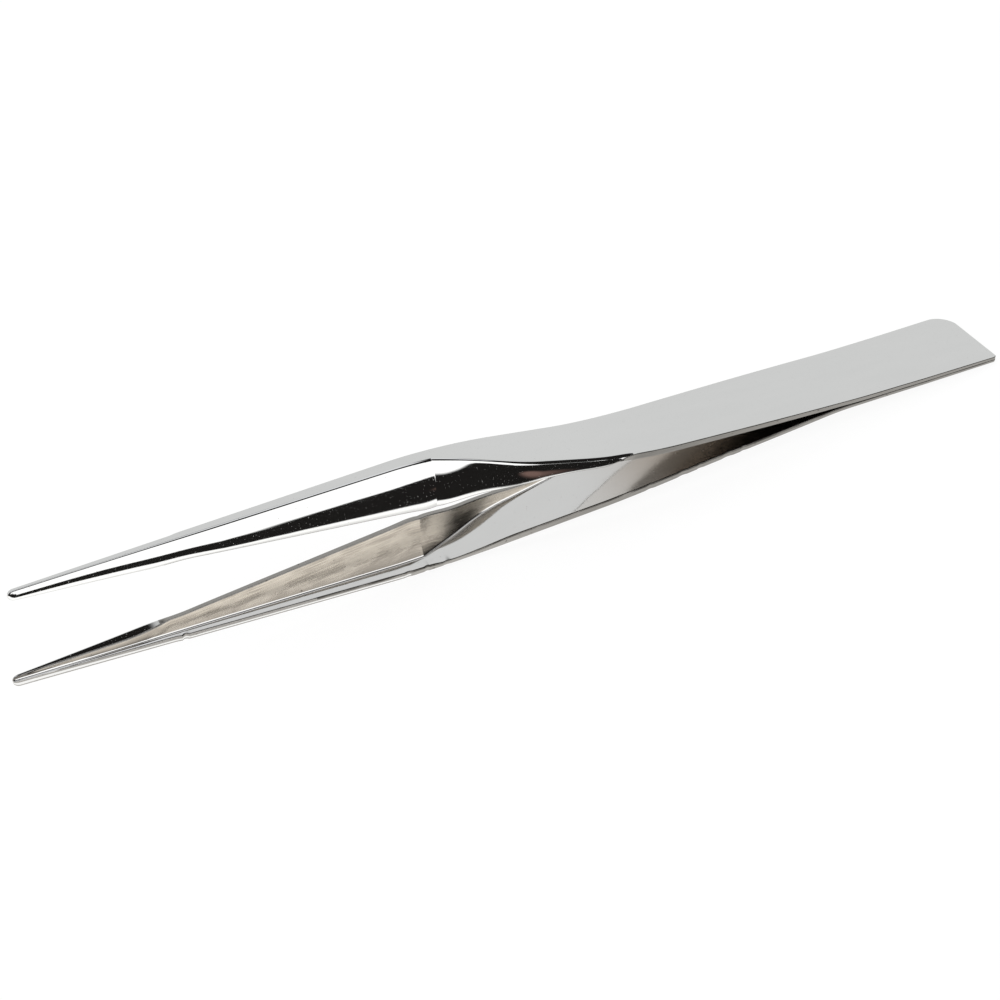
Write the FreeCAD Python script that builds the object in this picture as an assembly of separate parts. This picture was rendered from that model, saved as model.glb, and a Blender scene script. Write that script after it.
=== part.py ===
"""Precision tweezers: two folded spring-steel arms welded together at the butt.

Both arms are the same stamping, one turned half a turn about the tool's long
axis.  Each is a thin leaf behind and an angle section in front: the strip is
folded along a slanted line, so that one long edge becomes a flange which
stiffens the slender tip.  The arms are set by hand, the lower one a little wider.

Frame: +Z is up and the tool lies at rest on the plane Z = 0, on its butt and on
the shoulder of the lower arm.  The origin is on that plane below the middle of
the tool, and +X runs towards the butt.  Millimetres.
"""
import FreeCAD, Part
import math
import os

Vector = FreeCAD.Vector

# Stations along the tool, from the tips
tool_length = 150.0
ground_length = 22.0
shoulder_station = 59.0
neck_station = 62.6
fold_turn_station = 69.7
fold_start_station = 89.3
belly_station = 118.8
flare_station = 134.0

# Distances of the long edges from the tool's axis
butt_flare = 0.42
near_flare = 0.08
leaf_half_width = 6.05
waist_half_width = 5.17
turn_fold_line = 4.75
neck_free_edge = 1.44
shoulder_fold_line = 0.79
tip_half_width = 0.36

# Half lengths of the rounded corners of the edges and of the leaf's bends
shoulder_round = 0.7
turn_round = 3.9
belly_round = 14.0
knee_round = 8.0
weld_round = 2.5

# How each arm is set: inner face above or below the plane between the arms
upper_weld_length = 23.2
upper_knee_station = 88.0
upper_knee_opening = 1.1
upper_shoulder_opening = 7.48
upper_tip_opening = 6.21
lower_weld_length = 27.7
lower_knee_station = 96.2
lower_knee_opening = 2.83
lower_shoulder_opening = 8.8
lower_tip_opening = 7.25

# Sheet and flange
butt_thickness = 0.45
fold_thickness = 0.95
shoulder_thickness = 1.2
tip_thickness = 0.9
flange_share = 0.68
shoulder_flange = 6.78
middle_flange = 2.02
ground_flange = 2.87
tip_flange = 1.2
flange_spring_deg = 30.0
waist_spring_deg = 17.0
tip_spring_deg = 16.0
outer_bend = 0.42
inner_bend = 0.14

# Ground tips; the land is wider than the flange's rim where it is cut deepest
grip_bevel_deg = 15.0
land_gain = 0.6
land_loss = 0.35
side_grind = 0.12
nose_length = 0.9
nose_flat = 0.4

# Butt end, cut to one outline through both arms
far_corner_radius = 3.2
near_corner_radius = 0.6

upper_setting = (upper_weld_length, upper_knee_station, upper_knee_opening,
                 upper_shoulder_opening, upper_tip_opening)
lower_setting = (lower_weld_length, lower_knee_station, lower_knee_opening,
                 lower_shoulder_opening, lower_tip_opening)


def ramp(x, start, length):
    """Smooth step from 0 to 1 that begins at start."""
    u = min(max((x - start) / length, 0.0), 1.0)
    return u * u * (3.0 - 2.0 * u)


def rounded_line(x, corners):
    """Height at x of a line through corners (x, y, half length of rounding)."""
    slopes = []
    for first, second in zip(corners, corners[1:]):
        slopes.append((second[1] - first[1]) / (second[0] - first[0]))
    value = corners[0][1] + slopes[0] * (x - corners[0][0])
    for corner, before, after in zip(corners[1:-1], slopes, slopes[1:]):
        half = corner[2]
        u = x - corner[0] + half
        if u >= 2.0 * half:
            value += (after - before) * (x - corner[0])
        elif u > 0.0:
            value += (after - before) * u * u / (4.0 * half)
    return value


def free_edge(x):
    """The edge that stays flat, on the +Y side of the upper arm."""
    line = rounded_line(x, [
        (0.0, tip_half_width, 0.0),
        (neck_station, neck_free_edge, 6.0),
        (fold_start_station + 1.0, waist_half_width, 7.0),
        (belly_station, leaf_half_width, belly_round),
        (flare_station, leaf_half_width, 6.0),
        (tool_length, leaf_half_width + butt_flare, 0.0)])
    return line - side_grind * (1.0 - ramp(x, ground_length, 1.2))


def fold_line(x):
    """The fold in front and the other long edge behind it, on the -Y side."""
    return -rounded_line(x, [
        (0.0, tip_half_width, 0.0),
        (shoulder_station, shoulder_fold_line, shoulder_round),
        (fold_turn_station, turn_fold_line, turn_round),
        (fold_start_station + 1.0, waist_half_width, 6.0),
        (belly_station, leaf_half_width, belly_round),
        (flare_station, leaf_half_width, 6.0),
        (tool_length, leaf_half_width + butt_flare, 0.0)])


def inner_height(x, setting):
    """Inner face of the leaf above the plane between the arms."""
    weld_length, knee_station, knee_opening, shoulder_opening, tip_opening = setting
    return rounded_line(x, [
        (0.0, tip_opening, 0.0),
        (shoulder_station + 2.5, shoulder_opening, knee_round),
        (knee_station, knee_opening, knee_round),
        (tool_length - weld_length, 0.0, weld_round),
        (tool_length, 0.0, 0.0)])


def thickness(x):
    return rounded_line(x, [
        (0.0, tip_thickness, 0.0),
        (shoulder_station, shoulder_thickness, 5.0),
        (fold_start_station, fold_thickness, 8.0),
        (tool_length, butt_thickness, 0.0)])


def flange_depth(x):
    """Depth of the flange below the outer face."""
    return rounded_line(x, [
        (0.0, tip_flange, 0.0),
        (ground_length - 3.0, ground_flange, 1.0),
        (ground_length + 1.5, ground_flange + 0.12, 1.5),
        (shoulder_station - 0.6, shoulder_flange, 1.7),
        (fold_turn_station + 5.0, middle_flange, 6.3),
        (fold_start_station, fold_thickness, 2.0),
        (tool_length, fold_thickness, 0.0)])


def land_excess(x):
    """How much wider the rim is than the flange is thick, in the ground part."""
    return rounded_line(x, [
        (0.0, -land_loss, 0.0),
        (ground_length - 4.5, land_gain, 2.0),
        (ground_length - 0.5, 0.0, 0.8),
        (tool_length, 0.0, 0.0)])


def section_points(x, setting):
    """Corner and control points (y, z) of the upper arm's section at x."""
    edge = free_edge(x)
    fold = fold_line(x)
    sheet = thickness(x)
    bottom = inner_height(x, setting)
    top = bottom + sheet
    depth = flange_depth(x)
    spring_deg = tip_spring_deg + (flange_spring_deg - tip_spring_deg) * ramp(x, 8.0, ground_length)
    spring_deg += (waist_spring_deg - flange_spring_deg) * ramp(x, fold_turn_station - 2.5, 6.0)
    spring = math.radians(spring_deg)
    sin_s = math.sin(spring)
    cos_s = math.cos(spring)

    start_y = fold - outer_bend * sin_s
    rim_y = start_y - (depth - outer_bend * cos_s) * math.tan(spring / 2.0)
    crease_y = fold + flange_share * sheet * (1.0 - sin_s) / cos_s
    rim_width = flange_share * sheet + land_excess(x)
    bevel = rim_width * math.tan(math.radians(grip_bevel_deg))
    bevel = min(bevel, 0.6 * (depth - sheet))
    bevel *= 1.0 - ramp(x, ground_length - 1.5, 1.5)
    rim_z = top - depth
    inner_rim_y = rim_y + rim_width
    inner_rise = max(crease_y - inner_rim_y, 0.0) / math.tan(spring)
    inner_rise = min(inner_rise, 0.6 * (bottom - rim_z - bevel))
    folded = [
        (edge, top),
        (fold + outer_bend, top),
        (fold, top),
        (start_y, top - outer_bend * cos_s),
        (rim_y, top - (fold - rim_y) / math.tan(spring)),
        (rim_y, rim_z),
        (inner_rim_y, rim_z + bevel),
        (inner_rim_y, bottom - inner_rise),
        (crease_y - inner_bend * sin_s, bottom - inner_bend * cos_s),
        (crease_y, bottom),
        (crease_y + inner_bend, bottom),
        (edge, bottom)]
    lip = 0.15
    flat = [
        (edge, top),
        (fold + 4 * lip, top),
        (fold + 3 * lip, top),
        (fold + 2 * lip, top),
        (fold + lip, top),
        (fold, top),
        (fold, bottom),
        (fold + lip, bottom),
        (fold + 2 * lip, bottom),
        (fold + 3 * lip, bottom),
        (fold + 4 * lip, bottom),
        (edge, bottom)]
    bent = 1.0 - ramp(x, fold_start_station - 6.0, 6.0)
    points = []
    for bent_point, flat_point in zip(folded, flat):
        points.append((flat_point[0] + bent * (bent_point[0] - flat_point[0]),
                       flat_point[1] + bent * (bent_point[1] - flat_point[1])))
    return points


# Build one arm as a loft through its sections

def curve(points):
    """A straight edge through two points, a parabola over three."""
    bezier = Part.BezierCurve()
    bezier.setPoles(points)
    return bezier.toShape()


def section_wire(x, setting):
    points = section_points(x, setting)
    centre_y = 0.5 * (points[0][0] + points[5][0])
    centre_z = 0.5 * (points[0][1] + points[5][1])
    scale = 1.0
    if x < nose_length:
        scale = nose_flat + (1.0 - nose_flat) * math.sqrt(1.0 - (1.0 - x / nose_length) ** 2)
    corners = []
    for y, z in points:
        corners.append(Vector(x, centre_y + scale * (y - centre_y), centre_z + scale * (z - centre_z)))
    edges = [
        curve([corners[0], corners[1]]),
        curve([corners[1], corners[2], corners[3]]),
        curve([corners[3], corners[4], corners[5]]),
        curve([corners[5], corners[6]]),
        curve([corners[6], corners[7], corners[8]]),
        curve([corners[8], corners[9], corners[10]]),
        curve([corners[10], corners[11]]),
        curve([corners[11], corners[0]])]
    return Part.Wire(edges)


def spread(first, last, count):
    return [first + (last - first) * i / count for i in range(count)]


nose_stations = [nose_length * part for part in (0.0, 0.1, 0.4, 1.0)]
stations = nose_stations + [2.5, 5.0, 9.0, 14.0, ground_length - 3.0]
stations += [ground_length - 1.4, ground_length, ground_length + 1.3]
stations += spread(ground_length + 4.0, shoulder_station - 2.5, 4)
stations += spread(shoulder_station - 2.5, fold_start_station + 2.0, 17)
stations += spread(fold_start_station + 2.0, tool_length - lower_weld_length - 3.0, 5)
stations += spread(tool_length - lower_weld_length - 3.0, tool_length - upper_weld_length + 3.0, 6)
stations += spread(tool_length - upper_weld_length + 3.0, tool_length, 5) + [tool_length]


def arm(setting):
    """The upper arm in the tool's own frame, before the butt is cut to outline."""
    return Part.makeLoft([section_wire(x, setting) for x in stations], True, False)


def corner_arc(centre, radius, first_deg, last_deg):
    """Arc round a centre between two angles."""
    ends = []
    for angle in (first_deg, 0.5 * (first_deg + last_deg), last_deg):
        turn = math.radians(angle)
        ends.append(centre + Vector(radius * math.cos(turn), radius * math.sin(turn), 0))
    return Part.Arc(ends[0], ends[1], ends[2]).toShape()


def butt_outline():
    """Plate that trims both arms: a straight near side and two rounded corners."""
    depth = tool_length
    near_side = -leaf_half_width - near_flare
    far_side = leaf_half_width + 4.0 * butt_flare
    slope = butt_flare / (tool_length - flare_station)
    near_centre = Vector(tool_length - near_corner_radius, near_side + near_corner_radius, 0)
    far_x = tool_length - far_corner_radius
    far_y = leaf_half_width + slope * (far_x - flare_station)
    far_y -= far_corner_radius * math.sqrt(1.0 + slope * slope)
    near_arc = corner_arc(near_centre, near_corner_radius, -90.0, 0.0)
    far_arc = corner_arc(Vector(far_x, far_y, 0), far_corner_radius, 0.0,
                         90.0 + math.degrees(math.atan(slope)))
    tangent = far_arc.Vertexes[-1].Point
    behind = -0.1 * tool_length
    corners = [tangent, Vector(tangent.x, far_side, 0), Vector(behind, far_side, 0),
               Vector(behind, near_side, 0), near_arc.Vertexes[0].Point]
    sides = Part.makePolygon(corners).Edges
    end = Part.LineSegment(near_arc.Vertexes[-1].Point, far_arc.Vertexes[0].Point).toShape()
    wire = Part.Wire([near_arc, end, far_arc] + sides)
    plate = Part.Face(wire).extrude(Vector(0, 0, depth))
    plate.translate(Vector(0, 0, -0.5 * depth))
    return plate


# Rest the tool on its butt and on the lower shoulder
def lower_face(x):
    return inner_height(x, lower_setting) + thickness(x)


rest_slope = 0.0
for step in range(80):
    x = shoulder_station - 4.0 + 0.15 * step
    slope = (lower_face(x) - lower_face(tool_length)) / (tool_length - x)
    rest_slope = max(rest_slope, slope)
rest_angle = math.degrees(math.atan(rest_slope))

outline = butt_outline()
upper = arm(upper_setting).common(outline).Solids[0]
lower = arm(lower_setting)
lower.rotate(Vector(0, 0, 0), Vector(1, 0, 0), 180.0)
lower = lower.common(outline).Solids[0]
arms = {"upper_arm": upper, "lower_arm": lower}
for solid in arms.values():
    solid.rotate(Vector(0, 0, 0), Vector(0, 1, 0), rest_angle)
box = Part.makeCompound(list(arms.values())).optimalBoundingBox(False, False)
origin = Vector(box.Center.x, box.Center.y, box.ZMin)

os.makedirs("parts", exist_ok=True)
for name, solid in arms.items():
    solid.translate(origin.negative())
    solid.exportStep("parts/" + name + ".step")
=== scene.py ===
"""Looks of the precision tweezers: nickel-plated folded arms on a white table.

The two packed arms are replaced by denser meshes, because a mirror finish shows
every facet.  Their sections are laid out as in the solids.  The reflections asked
for slightly other bends, a sharper shoulder and another lean of the flange at the
tips.  Rounded cut edges, the slight crown of the narrow web and the nicks in the
lower leaf's near edge are too small for the solids and are only here.
"""

import math

import bpy
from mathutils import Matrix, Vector


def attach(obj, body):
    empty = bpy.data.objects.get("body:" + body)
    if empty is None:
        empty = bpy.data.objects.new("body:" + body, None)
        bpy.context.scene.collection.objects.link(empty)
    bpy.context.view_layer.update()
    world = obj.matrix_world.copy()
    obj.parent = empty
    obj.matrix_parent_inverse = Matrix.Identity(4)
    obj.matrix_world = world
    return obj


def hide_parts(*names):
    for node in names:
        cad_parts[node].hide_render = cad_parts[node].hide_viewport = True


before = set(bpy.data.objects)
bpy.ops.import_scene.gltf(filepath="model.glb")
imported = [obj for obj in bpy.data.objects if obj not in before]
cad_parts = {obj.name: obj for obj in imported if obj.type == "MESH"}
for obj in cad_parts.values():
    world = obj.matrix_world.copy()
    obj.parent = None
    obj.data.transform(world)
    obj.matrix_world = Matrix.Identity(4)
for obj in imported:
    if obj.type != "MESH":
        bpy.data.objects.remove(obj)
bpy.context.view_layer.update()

# The sizes are in millimetres; lay() puts the points in the frame, in metres
MM = 0.001

# Stations along the tool, from the tips
TOOL_LENGTH = 150.0
GROUND_LENGTH = 22.0
SHOULDER = 59.0
NECK = 62.6
FOLD_TURN = 69.7
FOLD_START = 89.3
BELLY = 118.8
FLARE = 134.0

# Distances of the long edges from the tool's axis, and half lengths of their roundings
BUTT_FLARE = 0.42
NEAR_FLARE = 0.08
LEAF_HALF_WIDTH = 6.05
WAIST_HALF_WIDTH = 5.17
TURN_FOLD_LINE = 4.75
NECK_FREE_EDGE = 1.44
SHOULDER_FOLD_LINE = 0.79
TIP_HALF_WIDTH = 0.36
SHOULDER_ROUND = 0.06
TURN_ROUND = 3.9
BELLY_ROUND = 14.0
KNEE_ROUND = 8.0
WELD_ROUND = 2.5

# Openings: weld length, knee station, knee, shoulder and tip openings
UPPER_SETTING = (23.2, 88.0, 1.1, 7.48, 6.21)
LOWER_SETTING = (27.7, 96.2, 2.83, 8.8, 7.25)

# Sheet and flange
BUTT_SHEET = 0.45
FOLD_SHEET = 0.95
SHOULDER_SHEET = 1.2
TIP_SHEET = 0.9
FLANGE_SHARE = 0.68
SHOULDER_FLANGE = 6.78
MIDDLE_FLANGE = 2.02
GROUND_FLANGE = 2.87
TIP_FLANGE = 1.2
FLANGE_SPRING = math.radians(30.0)
WAIST_SPRING = math.radians(17.0)
TIP_SPRING = math.radians(23.0)

# Bends of the fold, ground tips, corners of the butt and rounded edges
OUTER_BEND = 0.42
TIP_BEND = 0.22
INNER_BEND = 0.26
FLAT_STEP = 0.15
GRIP_BEVEL = math.radians(15.0)
LAND_GAIN = 0.6
LAND_LOSS = 0.35
SIDE_GRIND = 0.12
NOSE_LENGTH = 0.9
FAR_CORNER = 3.2
NEAR_CORNER = 0.6
BUTT_ROUND = 0.1
NOSE_BLUNT = 0.12
EDGE_ROUND = 0.2

# Narrow web's crown: rise of the inner face per millimetre towards the free edge
WEB_SLOPE = 0.19
SHOULDER_SLOPE = 0.21
CROWN_WIDTH = 2.6

# Shares that keep neighbouring curves from running into each other
SLANT_SHARE = 0.6
EDGE_SHARE = 0.45
FLANK_SHARE = 0.7
HOLD_REACH = 1.4
FLANK_GAP = 1.45

# Depths of the surface waves and marks in the finishes
PLATE_WAVE = 0.008
WEB_WAVE = 0.01
CUT_STREAKS = 0.03
ARRIS_RELIEF = 0.03
INSIDE_CLOUDS = 0.05

# Smooth changes along the arms: where each starts, and how long it takes
GRIND_FADE = (GROUND_LENGTH, 1.2)
BEVEL_FADE = (GROUND_LENGTH - 1.5, 1.5)
SPRING_GROWTH = (8.0, 22.0)
SPRING_LOSS = (SHOULDER + 1.0, 7.0)
SLOPE_GROWTH = (GROUND_LENGTH, 30.0)
CROWN_FADE = (SHOULDER + 4.0, 9.0)
BEND_GROWTH = (5.0, 30.0)
FLATTENING = (FOLD_START - 6.0, 6.0)

# Stations where one finish gives way to another
CUT_RIM_START = GROUND_LENGTH - 1.6
FREE_ARRIS_START = 42.0
CUT_SIDE_START = SHOULDER - 3.0
FOLD_ARRIS_START = FOLD_START - 4.0

# Spacing of the sections: fine at the tips and where the arms fold
FINE_STEP = 0.25
COARSE_STEP = 0.5
FINE_TIPS_END = 26.0
FINE_FOLD_START = 52.0
FINE_FOLD_END = 108.0
BUTT_STEPS = (0.1, 0.07, 0.03, 0.0)

# Points on each curve of a section
EDGE_STEPS = 5
FOLD_STEPS = 10
OUTER_STEPS = 20
INNER_STEPS = 14
CREASE_STEPS = 8

# The lower arm's places on the sheet are moved by this, so the two don't match
SHEET_SHIFT = 400.0

# Growth of the crease's depth below the rim, per millimetre along the flange
CREASE_GROWTH = 0.0946

# Rest of the tool on its butt and lower shoulder
REST_ANGLE = math.radians(5.905214)
ORIGIN = Vector((74.22443, 0.14159, -15.88007))


def ramp(x, start, length):
    u = min(max((x - start) / length, 0.0), 1.0)
    return u * u * (3.0 - 2.0 * u)


def rounded_line(x, corners):
    """Height at x of a line through corners (x, y, half length of rounding)."""
    slopes = []
    for first, second in zip(corners, corners[1:]):
        slopes.append((second[1] - first[1]) / (second[0] - first[0]))
    value = corners[0][1] + slopes[0] * (x - corners[0][0])
    for corner, before, after in zip(corners[1:-1], slopes, slopes[1:]):
        half = corner[2]
        u = x - corner[0] + half
        if u >= 2.0 * half:
            value += (after - before) * (x - corner[0])
        elif u > 0.0:
            value += (after - before) * u * u / (4.0 * half)
    return value


def free_edge(x):
    line = rounded_line(x, [
        (0.0, TIP_HALF_WIDTH, 0.0),
        (NECK, NECK_FREE_EDGE, 6.0),
        (FOLD_START + 1.0, WAIST_HALF_WIDTH, 7.0),
        (BELLY, LEAF_HALF_WIDTH, BELLY_ROUND),
        (FLARE, LEAF_HALF_WIDTH, 6.0),
        (TOOL_LENGTH, LEAF_HALF_WIDTH + BUTT_FLARE, 0.0)])
    return line - SIDE_GRIND * (1.0 - ramp(x, *GRIND_FADE))


def fold_line(x):
    return -rounded_line(x, [
        (0.0, TIP_HALF_WIDTH, 0.0),
        (SHOULDER, SHOULDER_FOLD_LINE, SHOULDER_ROUND),
        (FOLD_TURN, TURN_FOLD_LINE, TURN_ROUND),
        (FOLD_START + 1.0, WAIST_HALF_WIDTH, 6.0),
        (BELLY, LEAF_HALF_WIDTH, BELLY_ROUND),
        (FLARE, LEAF_HALF_WIDTH, 6.0),
        (TOOL_LENGTH, LEAF_HALF_WIDTH + BUTT_FLARE, 0.0)])


def inner_height(x, setting):
    weld_length, knee_station, knee_opening, shoulder_opening, tip_opening = setting
    return rounded_line(x, [
        (0.0, tip_opening, 0.0),
        (SHOULDER + 2.5, shoulder_opening, KNEE_ROUND),
        (knee_station, knee_opening, KNEE_ROUND),
        (TOOL_LENGTH - weld_length, 0.0, WELD_ROUND),
        (TOOL_LENGTH, 0.0, 0.0)])


def thickness(x):
    return rounded_line(x, [
        (0.0, TIP_SHEET, 0.0),
        (SHOULDER, SHOULDER_SHEET, 5.0),
        (FOLD_START, FOLD_SHEET, 8.0),
        (TOOL_LENGTH, BUTT_SHEET, 0.0)])


def flange_depth(x):
    return rounded_line(x, [
        (0.0, TIP_FLANGE, 0.0),
        (GROUND_LENGTH - 3.0, GROUND_FLANGE, 1.0),
        (GROUND_LENGTH + 1.5, GROUND_FLANGE + 0.12, 1.5),
        (SHOULDER - 0.6, SHOULDER_FLANGE, 1.7),
        (FOLD_TURN + 5.0, MIDDLE_FLANGE, 6.3),
        (FOLD_START, FOLD_SHEET, 2.0),
        (TOOL_LENGTH, FOLD_SHEET, 0.0)])


def land_excess(x):
    return rounded_line(x, [
        (0.0, -LAND_LOSS, 0.0),
        (GROUND_LENGTH - 4.5, LAND_GAIN, 2.0),
        (GROUND_LENGTH - 0.5, 0.0, 0.8),
        (TOOL_LENGTH, 0.0, 0.0)])


def far_limit(x):
    """Far side of the butt, where its large corner is rounded off."""
    slope = BUTT_FLARE / (TOOL_LENGTH - FLARE)
    u = x - (TOOL_LENGTH - FAR_CORNER)
    centre = LEAF_HALF_WIDTH + slope * (TOOL_LENGTH - FAR_CORNER - FLARE)
    centre -= FAR_CORNER * math.sqrt(1.0 + slope * slope)
    if u <= -slope * FAR_CORNER:
        return LEAF_HALF_WIDTH + BUTT_FLARE
    return centre + math.sqrt(max(FAR_CORNER ** 2 - u * u, 0.0))


def near_limit(x):
    """Near side of the butt, trimmed straight, with its small corner."""
    u = max(x - (TOOL_LENGTH - NEAR_CORNER), 0.0)
    reach = math.sqrt(max(NEAR_CORNER ** 2 - u * u, 0.0))
    return LEAF_HALF_WIDTH + NEAR_FLARE - NEAR_CORNER + reach


# Nicks in the lower leaf's near edge: station, half length, depth
NICKS = (
    (23.4, 0.45, 0.24),
    (55.8, 0.5, 0.09),
    (58.6, 0.4, 0.12),
    (61.5, 0.6, 0.08),
    (91.3, 0.6, 0.1),
    (96.4, 0.8, 0.12),
    (99.2, 0.5, 0.1),
    (103.6, 0.9, 0.12),
    (106.2, 0.5, 0.09))


def nicked_limit(x):
    """Near edge of the lower leaf, with its nicks."""
    line = free_edge(x)
    for station, half, depth in NICKS:
        line -= depth * max(1.0 - ((x - station) / half) ** 2, 0.0)
    return min(near_limit(x), line)


def section_points(x, setting, edge_limit, fold_limit):
    """Corner and control points (y, z) of an arm's section, in the solids' order."""
    edge = min(free_edge(x), edge_limit(x))
    fold = max(fold_line(x), -fold_limit(x))
    sheet = thickness(x)
    bottom = inner_height(x, setting)
    top = bottom + sheet
    depth = flange_depth(x)
    spring = TIP_SPRING + (FLANGE_SPRING - TIP_SPRING) * ramp(x, *SPRING_GROWTH)
    spring += (WAIST_SPRING - FLANGE_SPRING) * ramp(x, *SPRING_LOSS)
    sin_s, cos_s = math.sin(spring), math.cos(spring)
    start_y = fold - OUTER_BEND * sin_s
    rim_y = start_y - (depth - OUTER_BEND * cos_s) * math.tan(spring / 2.0)
    crease_y = fold + FLANGE_SHARE * sheet * (1.0 - sin_s) / cos_s
    rim_width = FLANGE_SHARE * sheet + land_excess(x)
    bevel = min(rim_width * math.tan(GRIP_BEVEL), SLANT_SHARE * (depth - sheet))
    bevel *= 1.0 - ramp(x, *BEVEL_FADE)
    rim_z = top - depth
    inner_rim_y = rim_y + rim_width
    inner_rise = max(crease_y - inner_rim_y, 0.0) / math.tan(spring)
    inner_rise = min(inner_rise, SLANT_SHARE * (bottom - rim_z - bevel))
    slope = WEB_SLOPE + (SHOULDER_SLOPE - WEB_SLOPE) * ramp(x, *SLOPE_GROWTH)
    crown = slope * min(edge - crease_y, CROWN_WIDTH) * (1.0 - ramp(x, *CROWN_FADE))
    bend = TIP_BEND + (OUTER_BEND - TIP_BEND) * ramp(x, *BEND_GROWTH)
    folded = [
        (edge, top),
        (fold + bend, top),
        (fold, top),
        (fold - bend * sin_s, top - bend * cos_s),
        (rim_y, top - (fold - rim_y) / math.tan(spring)),
        (rim_y, rim_z),
        (inner_rim_y, rim_z + bevel),
        (inner_rim_y, bottom - inner_rise),
        (crease_y - INNER_BEND * sin_s, bottom - INNER_BEND * cos_s),
        (crease_y, bottom),
        (crease_y + INNER_BEND, bottom),
        (edge, bottom + crown)]
    lip = [fold + i * FLAT_STEP for i in range(5)]
    flat = [(edge, top)] + [(y, top) for y in reversed(lip)]
    flat += [(y, bottom) for y in lip] + [(edge, bottom)]
    bent = 1.0 - ramp(x, *FLATTENING)
    return [Vector(b).lerp(Vector(a), bent) for a, b in zip(folded, flat)]


def parabola(a, b, c, t):
    return a * (1 - t) ** 2 + b * (2 * t * (1 - t)) + c * t * t


def rounded_edge(before, corner, after):
    """Eight points: six round the corner, and one beyond each end to hold the flats."""
    back = before - corner
    ahead = after - corner
    reach = min(EDGE_ROUND, EDGE_SHARE * back.length, EDGE_SHARE * ahead.length)
    back.normalize()
    ahead.normalize()
    first, last = corner + back * reach, corner + ahead * reach
    points = [corner + back * reach * HOLD_REACH]
    points += [parabola(first, corner, last, i / EDGE_STEPS) for i in range(EDGE_STEPS + 1)]
    points.append(corner + ahead * reach * HOLD_REACH)
    return points


def near_corner(a, b, c, distance):
    """Parameter at which the parabola a, b, c comes within distance of its end c."""
    low, high = 0.0, 1.0
    for _ in range(16):
        middle = 0.5 * (low + high)
        if (parabola(a, b, c, middle) - c).length > distance:
            low = middle
        else:
            high = middle
    return low


def flank(a, b, c, steps):
    """Side of the flange from its bend at a to where the edge at c is rounded."""
    stop = near_corner(a, b, c, min(FLANK_GAP * EDGE_ROUND, FLANK_SHARE * (a - c).length))
    return [parabola(a, b, c, stop * i / steps) for i in range(steps + 1)]


def between(a, b, count):
    """Points strictly between a and b."""
    return [a.lerp(b, (i + 1) / (count + 1)) for i in range(count)]


# Zones of the loop round a section; the last ones depend on the station
OUTER, CUT, INSIDE, WEB, ARRIS, FREE_ARRIS, FREE_SIDE = range(7)


def section_loop(points):
    """Finely rounded loop of a section as (point, zone), from the free edge's top."""
    p = points
    loop = []

    def add(zone, new_points):
        loop.extend((point, zone) for point in new_points)

    flange_out = flank(p[3], p[4], p[5], OUTER_STEPS)
    flange_in = flank(p[8], p[7], p[6], INNER_STEPS)[::-1]
    start = rounded_edge(p[11], p[0], p[1])
    add(OUTER, start[4:])
    add(OUTER, between(start[-1], p[1], 4))
    add(OUTER, [parabola(p[1], p[2], p[3], i / FOLD_STEPS) for i in range(FOLD_STEPS)])
    rim = rounded_edge(flange_out[-1], p[5], p[6])
    add(OUTER, flange_out[:-1])
    add(OUTER, rim[:1])
    add(ARRIS, rim[1:5])
    add(CUT, rim[5:])
    rim_in = rounded_edge(rim[-1], p[6], flange_in[0])
    add(CUT, between(rim[-1], rim_in[0], 2))
    add(CUT, rim_in[:4])
    add(ARRIS, rim_in[4:6])
    add(INSIDE, rim_in[6:])
    add(INSIDE, flange_in[:-1])
    add(WEB, [parabola(p[8], p[9], p[10], i / CREASE_STEPS) for i in range(CREASE_STEPS)])
    end = rounded_edge(p[10], p[11], start[0])
    add(WEB, between(p[10], end[0], 4))
    add(WEB, end[:1])
    add(FREE_ARRIS, end[1:6])
    add(CUT, end[6:])
    add(FREE_SIDE, between(end[-1], start[0], 2))
    add(CUT, start[:4])
    return loop


def stations():
    """Stations of the sections, closer at the nose, the folds and the butt's corners."""
    xs = [NOSE_LENGTH * (1.0 - math.cos(math.radians(a))) for a in range(0, 90, 9)]
    x = NOSE_LENGTH
    while x < TOOL_LENGTH - FAR_CORNER:
        xs.append(x)
        fine = x < FINE_TIPS_END or FINE_FOLD_START < x < FINE_FOLD_END
        x += FINE_STEP if fine else COARSE_STEP
    for angle in range(0, 88, 4):
        xs.append(TOOL_LENGTH - FAR_CORNER * (1.0 - math.sin(math.radians(angle))))
    xs += [TOOL_LENGTH - step for step in BUTT_STEPS]
    xs += [SHOULDER - SHOULDER_ROUND, SHOULDER, SHOULDER + SHOULDER_ROUND]
    return sorted(set(xs))


def lay(x, y, z):
    """A point of the tool's own frame (mm) in the row frame (m)."""
    cos_r, sin_r = math.cos(REST_ANGLE), math.sin(REST_ANGLE)
    turned = Vector((x * cos_r + z * sin_r, y, z * cos_r - x * sin_r))
    return (turned - ORIGIN) * MM


def nose_share(x):
    """Share of the section that the rounded nose keeps at station x."""
    if x >= NOSE_LENGTH:
        return 1.0
    return NOSE_BLUNT + (1.0 - NOSE_BLUNT) * math.sqrt(1.0 - (1.0 - x / NOSE_LENGTH) ** 2)


def butt_inset(x):
    """How far the rounded end of the butt draws the section in at station x."""
    over = max(x - TOOL_LENGTH + BUTT_ROUND, 0.0)
    return BUTT_ROUND - math.sqrt(max(BUTT_ROUND ** 2 - over ** 2, 0.0))


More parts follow.
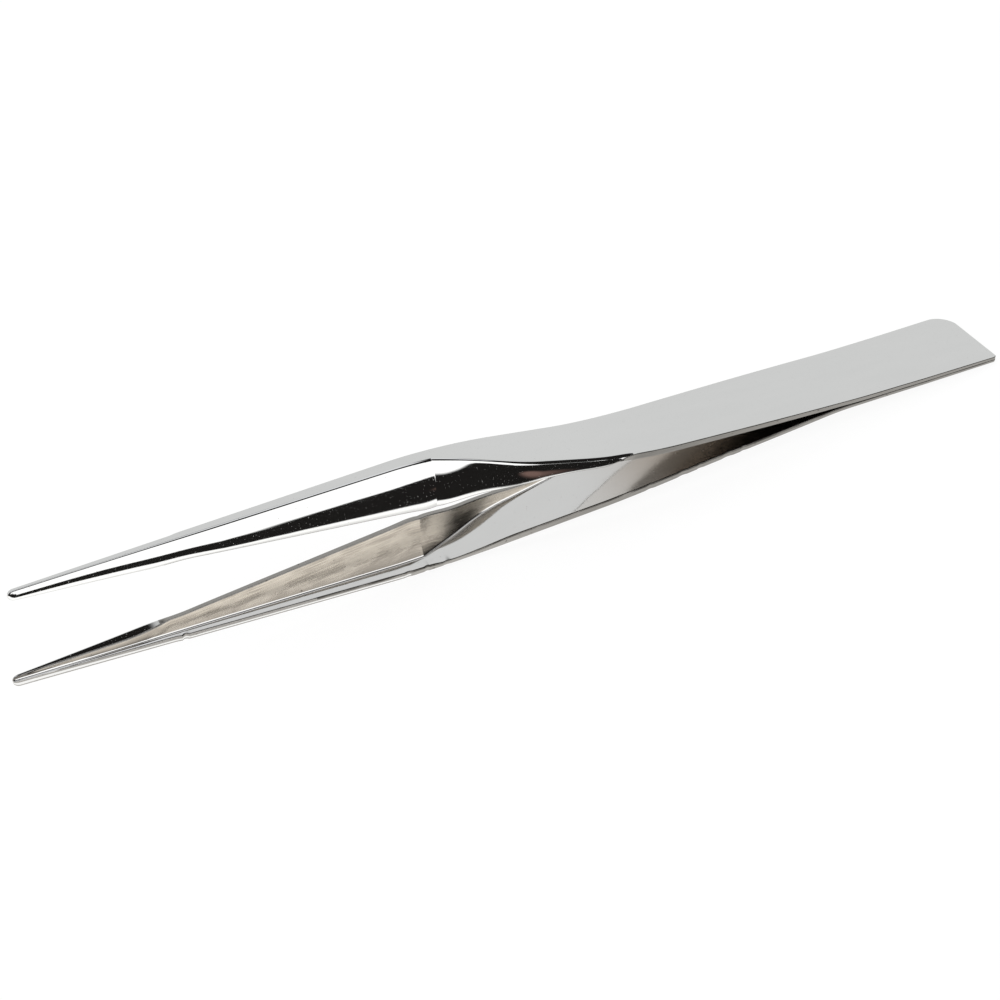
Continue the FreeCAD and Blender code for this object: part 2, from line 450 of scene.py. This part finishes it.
def settled_zone(zone, x, first_half):
    """Finish of a strip of the loop at station x."""
    if zone == ARRIS and x < FOLD_ARRIS_START:
        zone = CUT
    elif zone == FREE_ARRIS:
        zone = ARRIS if x > FREE_ARRIS_START else CUT
    elif zone == FREE_SIDE:
        zone = CUT if x > CUT_SIDE_START else OUTER
    if zone == CUT and first_half and x < CUT_RIM_START:
        zone = OUTER
    return zone


def build_arm(name, setting, edge_limit, fold_limit, turn, materials):
    """One arm as a closed mesh; turn is -1 for the arm turned over about X."""
    vertices, faces, zones, places = [], [], [], []
    xs = stations()
    shift = 0.0 if turn > 0 else SHEET_SHIFT
    for x in xs:
        loop = section_loop(section_points(x, setting, edge_limit, fold_limit))
        points = [point for point, zone in loop]
        loop_zones = [zone for point, zone in loop]
        count = len(loop)
        girth = [0.0]
        for point, after in zip(points, points[1:]):
            girth.append(girth[-1] + (after - point).length)
        rim = girth[loop_zones.index(CUT)]
        places += [(x, g - rim + shift) for g in girth]
        centre = sum(points, Vector((0, 0))) / count
        half_y = 0.5 * (max(p.x for p in points) - min(p.x for p in points))
        half_z = 0.5 * (max(p.y for p in points) - min(p.y for p in points))
        scale_y = nose_share(x) * (1.0 - butt_inset(x) / half_y)
        scale_z = nose_share(x) * (1.0 - butt_inset(x) / half_z)
        for point in points:
            y = centre.x + scale_y * (point.x - centre.x)
            z = centre.y + scale_z * (point.y - centre.y)
            vertices.append(lay(x, turn * y, turn * z))

    # Strips between the sections, then a fan over each end
    for i in range(len(xs) - 1):
        for j in range(count):
            k = (j + 1) % count
            a, b = i * count, (i + 1) * count
            faces.append((a + j, a + k, b + k, b + j))
            zones.append(settled_zone(loop_zones[j], xs[i], j < count // 2))
    for start, flip in ((0, False), ((len(xs) - 1) * count, True)):
        middle = len(vertices)
        vertices.append(sum(vertices[start:start + count], Vector()) / count)
        places.append(places[start])
        for j in range(count):
            a, b = start + j, start + (j + 1) % count
            faces.append((a, b, middle) if flip else (b, a, middle))
            zones.append(CUT)

    mesh = bpy.data.meshes.new(name)
    mesh.from_pydata(vertices, [], faces)
    for material in materials:
        mesh.materials.append(material)
    mesh.polygons.foreach_set("material_index", zones)
    mesh.polygons.foreach_set("use_smooth", [True] * len(faces))
    mesh.validate()
    mesh.update()
    layer = mesh.uv_layers.new(name="sheet")
    for corner in mesh.loops:
        layer.data[corner.index].uv = places[corner.vertex_index]
    arm = bpy.data.objects.new(name, mesh)
    bpy.context.scene.collection.objects.link(arm)
    return arm


def feed(tree, socket, value):
    """Give a socket a number or a colour, or link another socket to it."""
    if isinstance(value, (int, float)):
        socket.default_value = value
    elif isinstance(value, tuple):
        socket.default_value = (*value, 1.0)
    else:
        tree.links.new(value, socket)


def soft_step(tree, value, low, high):
    """From 0 at low to 1 at high, softly; high may be the smaller one."""
    node = tree.nodes.new("ShaderNodeMapRange")
    node.interpolation_type = "SMOOTHSTEP"
    feed(tree, node.inputs["Value"], value)
    feed(tree, node.inputs["From Min"], low)
    feed(tree, node.inputs["From Max"], high)
    return node.outputs["Result"]


# Colour sockets of a Mix node, which has others of the same names for numbers
FIRST_COLOUR, SECOND_COLOUR, MIXED_COLOUR = 6, 7, 2


def blend_colour(tree, factor, first, second):
    node = tree.nodes.new("ShaderNodeMix")
    node.data_type = "RGBA"
    feed(tree, node.inputs["Factor"], factor)
    feed(tree, node.inputs[FIRST_COLOUR], first)
    feed(tree, node.inputs[SECOND_COLOUR], second)
    return node.outputs[MIXED_COLOUR]


def combine(tree, operation, first, second=0.0):
    node = tree.nodes.new("ShaderNodeMath")
    node.operation = operation
    feed(tree, node.inputs[0], first)
    feed(tree, node.inputs[1], second)
    return node.outputs[0]


def product(tree, first, *others):
    for other in others:
        first = combine(tree, "MULTIPLY", first, other)
    return first


def add_up(tree, terms, base=0.0):
    """Weighted sum of (weight, value) terms on top of a fixed base."""
    total = None
    for weight, value in terms:
        part = combine(tree, "MULTIPLY", value, weight)
        total = part if total is None else combine(tree, "ADD", total, part)
    return combine(tree, "ADD", total, base) if base else total


def split_vector(tree, vector):
    node = tree.nodes.new("ShaderNodeSeparateXYZ")
    tree.links.new(vector, node.inputs[0])
    return node.outputs


# Effects that several finishes use, each a node group with one mask as its output
def new_group(name, inputs, output):
    """An empty node group; its inputs are (name, kind) pairs."""
    tree = bpy.data.node_groups.new(name, "ShaderNodeTree")
    for label, kind in inputs:
        tree.interface.new_socket(label, in_out="INPUT", socket_type=kind)
    tree.interface.new_socket(output, in_out="OUTPUT", socket_type="NodeSocketFloat")
    given = tree.nodes.new("NodeGroupInput").outputs
    result = tree.nodes.new("NodeGroupOutput").inputs[output]
    return tree, given, result


def build_sheet_noise():
    """Noise over the sheet, with its own scale along, round and through the sheet."""
    tree, given, result = new_group("sheet_noise", (
        ("Place", "NodeSocketVector"), ("Scale", "NodeSocketVector"),
        ("Detail", "NodeSocketFloat")), "Noise")
    mapping = tree.nodes.new("ShaderNodeMapping")
    tree.links.new(given["Place"], mapping.inputs["Vector"])
    tree.links.new(given["Scale"], mapping.inputs["Scale"])
    texture = tree.nodes.new("ShaderNodeTexNoise")
    texture.inputs["Scale"].default_value = 1.0
    tree.links.new(mapping.outputs[0], texture.inputs["Vector"])
    tree.links.new(given["Detail"], texture.inputs["Detail"])
    tree.links.new(texture.outputs["Fac"], result)
    return tree


def build_dust():
    """Sparse round specks: size of a cell, radius of a speck, share of cells with one."""
    tree, given, result = new_group("dust", (
        ("Place", "NodeSocketVector"), ("Cell", "NodeSocketFloat"),
        ("Radius", "NodeSocketFloat"), ("Share", "NodeSocketFloat")), "Dust")
    scaled = tree.nodes.new("ShaderNodeVectorMath")
    scaled.operation = "SCALE"
    tree.links.new(given["Place"], scaled.inputs["Vector"])
    tree.links.new(combine(tree, "DIVIDE", 1.0, given["Cell"]), scaled.inputs["Scale"])
    cells = tree.nodes.new("ShaderNodeTexVoronoi")
    cells.voronoi_dimensions = "2D"
    cells.inputs["Scale"].default_value = 1.0
    tree.links.new(scaled.outputs["Vector"], cells.inputs["Vector"])
    outside = combine(tree, "DIVIDE", given["Radius"], given["Cell"])
    speck = soft_step(tree, cells.outputs["Distance"], outside,
                      combine(tree, "MULTIPLY", outside, 0.4))
    chance = tree.nodes.new("ShaderNodeSeparateColor")
    tree.links.new(cells.outputs["Color"], chance.inputs[0])
    chosen = soft_step(tree, chance.outputs[0], combine(tree, "ADD", given["Share"], 0.01),
                       combine(tree, "SUBTRACT", given["Share"], 0.01))
    tree.links.new(combine(tree, "MULTIPLY", speck, chosen), result)
    return tree


SHEET_NOISE = build_sheet_noise()
DUST = build_dust()


def use_group(tree, group, place, values):
    """Put a group in a material with its own values."""
    node = tree.nodes.new("ShaderNodeGroup")
    node.node_tree = group
    tree.links.new(place, node.inputs["Place"])
    for label, value in values.items():
        node.inputs[label].default_value = value
    return node.outputs[0]


def noise_at(tree, place, stretch, scale, detail):
    """Sheet noise stretched along the tool; scale is per millimetre across it."""
    values = {"Scale": (scale / stretch, scale, scale), "Detail": detail}
    return use_group(tree, SHEET_NOISE, place, values)


def dust_at(tree, place, cell, radius, share):
    return use_group(tree, DUST, place, {"Cell": cell, "Radius": radius, "Share": share})


def new_material(name):
    material = bpy.data.materials.new(name)
    material.use_nodes = True
    return material, material.node_tree, material.node_tree.nodes.get("Principled BSDF")


def new_finish(name):
    """A metal, with the place on the sheet (along and round it) that its marks follow."""
    material, tree, shader = new_material(name)
    shader.inputs["Metallic"].default_value = 1.0
    place = tree.nodes.new("ShaderNodeUVMap")
    place.uv_map = "sheet"
    return material, tree, shader, place.outputs[0]


def dress(tree, shader, colour, roughness, height, depth):
    """Connect a finish; the relief's height 1 is depth millimetres."""
    tree.links.new(colour, shader.inputs["Base Color"])
    tree.links.new(roughness, shader.inputs["Roughness"])
    relief = tree.nodes.new("ShaderNodeBump")
    relief.inputs["Distance"].default_value = depth * MM
    tree.links.new(height, relief.inputs["Height"])
    tree.links.new(relief.outputs[0], shader.inputs["Normal"])


def finish_plate():
    """Bright nickel on the outside: nearly a mirror, with handling marks and dust."""
    material, tree, shader, place = new_finish("nickel_mirror")
    swirl = noise_at(tree, place, 6.0, 0.5, 3.0)
    hairs = noise_at(tree, place, 60.0, 9.0, 3.0)
    waves = noise_at(tree, place, 3.0, 0.45, 1.0)
    ripple = noise_at(tree, place, 2.5, 2.2, 2.0)
    dust = combine(tree, "MAXIMUM", dust_at(tree, place, 1.3, 0.05, 0.22),
                   dust_at(tree, place, 0.5, 0.026, 0.3))
    clean = blend_colour(tree, swirl, (0.60, 0.602, 0.598), (0.625, 0.625, 0.62))
    colour = blend_colour(tree, dust, clean, (0.45, 0.44, 0.42))
    scratched = soft_step(tree, hairs, 0.56, 0.72)
    rough = add_up(tree, ((0.03, swirl), (0.05, scratched), (0.5, dust)), 0.03)
    height = add_up(tree, ((1.0, waves), (0.06, ripple), (0.01, hairs), (0.7, dust)))
    dress(tree, shader, colour, rough, height, PLATE_WAVE)
    return material


def finish_cut():
    """Sheared edges: duller, streaked along the tool, with pits that stay dark; the dark base
    is partly painted shade, for the shaded table that they reflect.
    """
    material, tree, shader, place = new_finish("nickel_cut_edge")
    streaks = noise_at(tree, place, 14.0, 5.0, 4.0)
    pits = soft_step(tree, noise_at(tree, place, 1.6, 1.9, 3.0), 0.66, 0.74)
    # Partly painted shade: the base is far darker than the plate, standing in for the shaded
    # paper that the edges reflect
    metal = blend_colour(tree, streaks, (0.21, 0.203, 0.19), (0.33, 0.32, 0.305))
    colour = blend_colour(tree, pits, metal, (0.10, 0.09, 0.08))
    rough = add_up(tree, ((0.12, streaks), (0.25, pits)), 0.12)
    height = add_up(tree, ((0.5, streaks), (-1.0, pits)))
    dress(tree, shader, colour, rough, height, CUT_STREAKS)
    return material


def finish_arris():
    """Rounded arrises of the leaves: a painted dark reflection along them, in patches."""
    material, tree, shader, place = new_finish("nickel_arris")
    patches = noise_at(tree, place, 8.0, 1.2, 3.0)
    # Painted reflection: the dark base stands in for the dark surroundings that the rounded
    # arrises reflect
    dark_reflection_patches = soft_step(tree, patches, 0.42, 0.68)
    colour = blend_colour(tree, dark_reflection_patches, (0.085, 0.08, 0.074), (0.26, 0.25, 0.235))
    rough = add_up(tree, ((-0.1, dark_reflection_patches),), 0.32)
    dress(tree, shader, colour, rough, patches, ARRIS_RELIEF)
    return material


def finish_inside():
    """Inside of the flanges: satin, warm and mottled, as the plating left the folds, with
    painted shade towards the crease.
    """
    material, tree, shader, place = new_finish("nickel_inside")
    clouds = noise_at(tree, place, 2.5, 0.5, 4.0)
    grain = noise_at(tree, place, 1.0, 11.0, 3.0)
    streaks = noise_at(tree, place, 30.0, 5.0, 3.0)
    spots = soft_step(tree, noise_at(tree, place, 1.5, 2.6, 3.0), 0.68, 0.78)
    worn = blend_colour(tree, soft_step(tree, clouds, 0.38, 0.62),
                        (0.36, 0.325, 0.28), (0.50, 0.455, 0.395))
    fine = blend_colour(tree, soft_step(tree, streaks, 0.45, 0.75), worn, (0.56, 0.515, 0.44))

    # Painted shade: darker towards the crease, whose depth below the rim grows along the flange
    along, around = split_vector(tree, place)[:2]
    station = combine(tree, "MINIMUM", along, SHOULDER)
    crease = add_up(tree, ((CREASE_GROWTH, station), (1.0, clouds)))
    from_rim = combine(tree, "MODULO", around, SHEET_SHIFT)
    crease_shade = soft_step(tree, combine(tree, "SUBTRACT", from_rim, crease), -1.5, 0.3)
    crease_shaded = blend_colour(tree, crease_shade, fine, (0.21, 0.19, 0.165))
    colour = blend_colour(tree, spots, crease_shaded, (0.13, 0.115, 0.095))
    rough = add_up(tree, ((0.10, clouds), (0.10, grain), (0.2, spots)), 0.17)
    height = add_up(tree, ((1.0, clouds), (0.10, grain), (0.12, streaks), (-0.3, spots)))
    dress(tree, shader, colour, rough, height, INSIDE_CLOUDS)
    return material


def finish_web():
    """Inner faces of the leaves: bright, with lengthwise rolling lines, some haze and painted
    shade behind the fold.
    """
    material, tree, shader, place = new_finish("nickel_web")
    lines = noise_at(tree, place, 50.0, 6.0, 3.0)
    haze = noise_at(tree, place, 3.0, 0.35, 3.0)
    waves = noise_at(tree, place, 3.0, 0.4, 1.0)
    dust = dust_at(tree, place, 1.6, 0.06, 0.2)
    along = split_vector(tree, place)["X"]
    # Painted shade behind the fold, where the arms lie close over each other; the same mask
    # also makes the web rougher there
    behind = soft_step(tree, along, FOLD_START - 8.0, FOLD_START + 12.0)
    metal = blend_colour(tree, haze, (0.58, 0.58, 0.575), (0.62, 0.615, 0.61))
    shaded_web = blend_colour(tree, haze, (0.40, 0.375, 0.345), (0.50, 0.47, 0.44))
    web_with_shade = blend_colour(tree, behind, metal, shaded_web)
    colour = blend_colour(tree, dust, web_with_shade, (0.40, 0.38, 0.36))
    rolled = soft_step(tree, lines, 0.5, 0.75)
    rough = add_up(tree, ((0.05, haze), (0.06, rolled), (0.07, behind), (0.4, dust)), 0.05)
    height = add_up(tree, ((1.0, waves), (0.02, lines), (0.6, dust)))
    dress(tree, shader, colour, rough, height, WEB_WAVE)
    return material


# In the order of the zones OUTER, CUT, INSIDE, WEB and ARRIS
FINISHES = [finish_plate(), finish_cut(), finish_inside(), finish_web(), finish_arris()]

upper = build_arm("upper_leaf", UPPER_SETTING, far_limit, near_limit, 1.0, FINISHES)
lower = build_arm("lower_leaf", LOWER_SETTING, nicked_limit, far_limit, -1.0, FINISHES)
for piece, node in ((upper, "upper_arm"), (lower, "lower_arm")):
    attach(piece, "root")
    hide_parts(node)


# Studio: bright table and back, a lamp panel in front and a dark room behind the camera.
# Each soft edge is a pair: where it starts and where it is complete.
DARK = (0.016, 0.015, 0.014)
LAMP = (1.75, 1.75, 1.74)
WHITE_BACK = (0.96, 0.968, 0.966)
ROOF_LIGHT = (1.1, 1.11, 1.14)

# Directions in degrees: turn from +X towards +Y, and rise above the table
LAMP_LEFT = (-112.0, -104.0)
LAMP_RIGHT = (-52.0, -56.0)
LAMP_TOP = (47.0, 41.0)
LAMP_FOOT = (-2.0, 2.0)
LAMP_STEP = (-75.3, -77.3)
LAMP_SLOPE = (-79.0, -92.0)
FOOT_DROP = 90.0
FOOT_RISE = 7.0
FLOOR_TOP = (0.5, -1.0)
FLOOR_LEFT = (-77.3, -75.3)
BACK_START = (24.0, 31.0)
BACK_TOP = (62.0, 58.0)
ROOF_FOOT = (67.5, 71.0)
ROOF_FRONT = (-0.2, -0.1)
WINDOW_FOOT = (54.0, 58.0)
WINDOW_LEFT = (34.0, 28.0)
WINDOW_RIGHT = (-30.0, -20.0)


def build_world():
    """Plain white for the camera; the metal sees the studio by direction."""
    world = bpy.data.worlds.new("studio")
    bpy.context.scene.world = world
    world.use_nodes = True
    tree = world.node_tree
    direction = tree.nodes.new("ShaderNodeTexCoord").outputs["Generated"]
    x, y, z = split_vector(tree, direction)
    degrees = math.degrees(1.0)
    turn = combine(tree, "MULTIPLY", combine(tree, "ARCTAN2", y, x), degrees)
    rise = combine(tree, "MULTIPLY", combine(tree, "ARCSINE", z), degrees)

    # Lamp panel on the near side; its right part reaches down below the table's level
    left_part = soft_step(tree, turn, *LAMP_STEP)
    sloping = soft_step(tree, turn, *LAMP_SLOPE)
    foot = combine(tree, "SUBTRACT", add_up(
        tree, ((FOOT_DROP, left_part), (FOOT_RISE, sloping))), FOOT_DROP)
    lamp = product(
        tree, soft_step(tree, combine(tree, "SUBTRACT", rise, foot), *LAMP_FOOT),
        soft_step(tree, rise, *LAMP_TOP), soft_step(tree, turn, *LAMP_RIGHT),
        soft_step(tree, turn, *LAMP_LEFT))
    floor = product(tree, soft_step(tree, rise, *FLOOR_TOP), soft_step(tree, turn, *FLOOR_LEFT))
    near = blend_colour(tree, combine(tree, "MAXIMUM", lamp, floor), DARK, LAMP)

    # White back from the right-hand side round to the far left, then roof and window
    back = product(tree, soft_step(tree, turn, *BACK_START), soft_step(tree, rise, *BACK_TOP))
    behind = blend_colour(tree, back, near, WHITE_BACK)
    roof = product(tree, soft_step(tree, rise, *ROOF_FOOT), soft_step(tree, y, *ROOF_FRONT))
    window = product(
        tree, soft_step(tree, rise, *WINDOW_FOOT), soft_step(tree, turn, *WINDOW_LEFT),
        soft_step(tree, turn, *WINDOW_RIGHT))
    studio = blend_colour(tree, combine(tree, "MAXIMUM", roof, window), behind, ROOF_LIGHT)
    path = tree.nodes.new("ShaderNodeLightPath")
    seen = blend_colour(tree, path.outputs["Is Glossy Ray"], (1.0, 1.0, 1.0), studio)
    background = tree.nodes.get("Background")
    tree.links.new(seen, background.inputs["Color"])
    background.inputs["Strength"].default_value = 1.0


# Table: its white paper, and how the metal sees it, by millimetres from the middle
TABLE_HALF = 3000.0
PAPER_COLOUR = (0.9, 0.9, 0.9, 1.0)
PAPER_GLOW = 1.05
GLOW_SHARE = 0.8
# Painted light and shade on the paper that the metal sees: glow brighter than lit paper, a
# shadow strip and a shaded grey
UNDER_PAPER = (1.5, 1.49, 1.47)
PAPER_SHADOW_STRIP = (1.12, 1.11, 1.09)
NEAR_PAPER = (1.7, 1.69, 1.66)
SHADED_PAPER = (0.85, 0.84, 0.82)
BROWN = (0.26, 0.165, 0.14)
EDGE_SLANT = 0.25
SLANT_END = 14.0
CORNER = -37.0
CORNER_SLANT = 1.5
TABLE_EDGE = (-20.5, -22.5)
STRIP_EDGE = (-18.0, -14.5)
UNDER_EDGE = (-7.0, -1.0)
GREY_START = (8.0, 20.0)
GREY_NEAR_END = (-90.0, -60.0)
ROOM_EDGE = (-105.0, -85.0)
ROOM_TURN = -12.0
ROOM_SLANT = 2.07
ROOM_LEFT = (-16.0, -21.0)
BROWN_CENTRE = (9.5, -36.0)
BROWN_HALF_SIZE = (7.0, 18.0)
BROWN_RIM = (1.1, 0.3)


def mix_shaders(tree, factor, first, second):
    node = tree.nodes.new("ShaderNodeMixShader")
    feed(tree, node.inputs[0], factor)
    tree.links.new(first.outputs[0], node.inputs[1])
    tree.links.new(second.outputs[0], node.inputs[2])
    return node


def table_seen(tree):
    """What the metal sees: the colour, and a mask of where it looks past the table.

    Paper that glows brighter than lit paper, as painted light, lies near the tool, with painted
    shade in a strip and in a grey patch; then the table's edge with a dark room and a brown
    object beyond it.
    """
    place = split_vector(tree, tree.nodes.new("ShaderNodeTexCoord").outputs["Object"])
    x = combine(tree, "MULTIPLY", place["X"], 1.0 / MM)
    y = combine(tree, "MULTIPLY", place["Y"], 1.0 / MM)
    slant = combine(tree, "MULTIPLY", combine(tree, "MINIMUM", x, SLANT_END), EDGE_SLANT)
    past_corner = combine(tree, "MINIMUM", combine(tree, "SUBTRACT", x, CORNER), 0.0)
    corner = combine(tree, "MULTIPLY", past_corner, CORNER_SLANT)
    edge = combine(tree, "ADD", slant, corner)
    off_table = soft_step(tree, combine(tree, "SUBTRACT", y, edge), *TABLE_EDGE)

    # Paper, as painted light and shade: glowing bright under the tool, a greyer strip of
    # painted shadow, and bright again near the edge; painted shade greys it further along the
    # tool, near it
    from_tool = combine(tree, "SUBTRACT", y, slant)
    paper_shade = product(tree, soft_step(tree, x, *GREY_START), soft_step(tree, y, *GREY_NEAR_END))
    near_paper = blend_colour(tree, paper_shade, NEAR_PAPER, SHADED_PAPER)
    shadow_strip = blend_colour(tree, soft_step(tree, from_tool, *STRIP_EDGE), near_paper, PAPER_SHADOW_STRIP)
    paper = blend_colour(tree, soft_step(tree, from_tool, *UNDER_EDGE), shadow_strip, UNDER_PAPER)

    # Beyond the edge: the brown object in the dark, which ends further out
    offsets = []
    for value, centre, half in zip((x, y), BROWN_CENTRE, BROWN_HALF_SIZE):
        away = combine(tree, "DIVIDE", combine(tree, "SUBTRACT", value, centre), half)
        offsets.append(combine(tree, "MULTIPLY", away, away))
    from_brown = combine(tree, "SQRT", combine(tree, "ADD", *offsets))
    shade = blend_colour(tree, soft_step(tree, from_brown, *BROWN_RIM), DARK, BROWN)
    past_turn = combine(tree, "MAXIMUM", combine(tree, "SUBTRACT", x, ROOM_TURN), 0.0)
    side = combine(tree, "MULTIPLY", past_turn, ROOM_SLANT)
    room = combine(tree, "MAXIMUM", soft_step(tree, combine(tree, "ADD", y, side), *ROOM_EDGE),
                   soft_step(tree, x, *ROOM_LEFT))
    dark = combine(tree, "MULTIPLY", off_table, room)
    distant = combine(tree, "MULTIPLY", off_table, combine(tree, "SUBTRACT", 1.0, dark))
    return blend_colour(tree, off_table, paper, shade), distant


def build_table():
    """White paper for the camera, which keeps the tool's shadow."""
    mesh = bpy.data.meshes.new("table")
    half = TABLE_HALF * MM
    mesh.from_pydata([(-half, -half, 0), (half, -half, 0), (half, half, 0), (-half, half, 0)],
                     [], [(0, 1, 2, 3)])
    table = bpy.data.objects.new("table", mesh)
    bpy.context.scene.collection.objects.link(table)
    material, tree, shader = new_material("white_table")
    tree.nodes.remove(shader)
    paper = tree.nodes.new("ShaderNodeBsdfDiffuse")
    paper.inputs["Color"].default_value = PAPER_COLOUR
    glow = tree.nodes.new("ShaderNodeEmission")
    glow.inputs["Color"].default_value = (1.0, 1.0, 1.0, 1.0)
    glow.inputs["Strength"].default_value = PAPER_GLOW
    lit = mix_shaders(tree, GLOW_SHARE, paper, glow)
    colour, distant = table_seen(tree)
    seen = tree.nodes.new("ShaderNodeEmission")
    tree.links.new(colour, seen.inputs["Color"])
    open_view = mix_shaders(tree, distant, seen, tree.nodes.new("ShaderNodeBsdfTransparent"))
    path = tree.nodes.new("ShaderNodeLightPath")
    surface = mix_shaders(tree, path.outputs["Is Glossy Ray"], lit, open_view)
    tree.links.new(surface.outputs[0], tree.nodes.get("Material Output").inputs["Surface"])
    mesh.materials.append(material)


build_world()
build_table()

# Camera at the photograph's view
camera_data = bpy.data.cameras.new("camera")
camera_data.lens = 101.231
camera_data.sensor_width = 36.0
camera_data.clip_start = 0.01
camera_data.clip_end = 20.0
camera = bpy.data.objects.new("camera", camera_data)
camera.location = (-0.141924, -0.25892, 0.246668)
camera.rotation_euler = (math.radians(50.5445), math.radians(2.7388), math.radians(-30.2161))
bpy.context.scene.collection.objects.link(camera)
bpy.context.scene.camera = camera
bpy.context.scene.view_settings.view_transform = "Standard"
